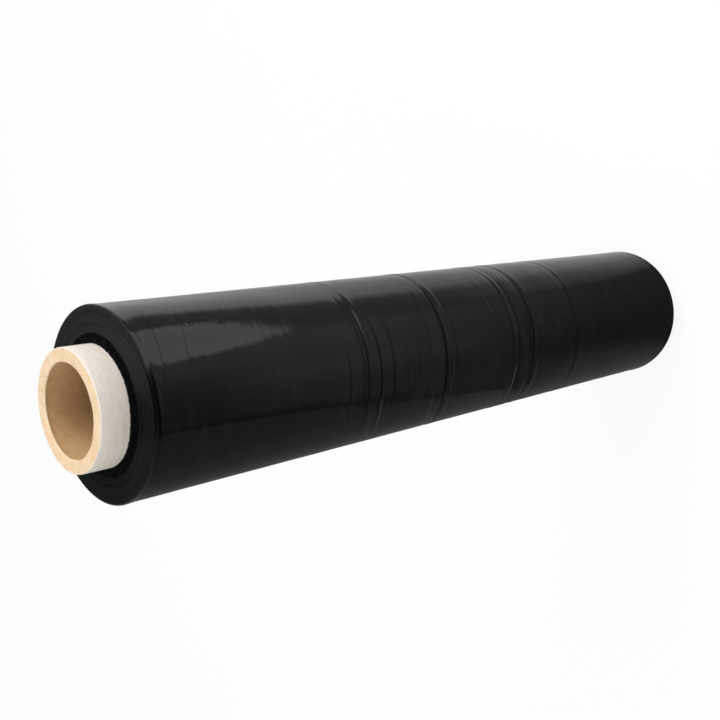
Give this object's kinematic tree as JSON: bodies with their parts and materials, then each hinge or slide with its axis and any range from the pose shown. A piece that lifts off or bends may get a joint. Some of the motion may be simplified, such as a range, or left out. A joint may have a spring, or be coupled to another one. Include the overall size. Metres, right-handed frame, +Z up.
{
  "type": "stretch wrap roll",
  "caption": "Roll of black stretch wrap film wound tight on a paperboard core that stands out at both ends, with an open bore for a hand grip or spindle.",
  "frame": {"origin": "centre of the core's lower end, on the surface that the roll stands on", "axes": "+Z up along the roll's axis, +Y towards the side where the film's loose end lies"},
  "size_m": [0.1036, 0.1036, 0.534],
  "materials": {
    "core_board": "spiral-wound paperboard, white outer paper, raw cut ends",
    "black_film": "glossy black polyethylene film, tightly wound"
  },
  "bodies": {
    "root": {"core_tube": "core_board", "film_roll": "black_film"}
  },
  "joints": []
}
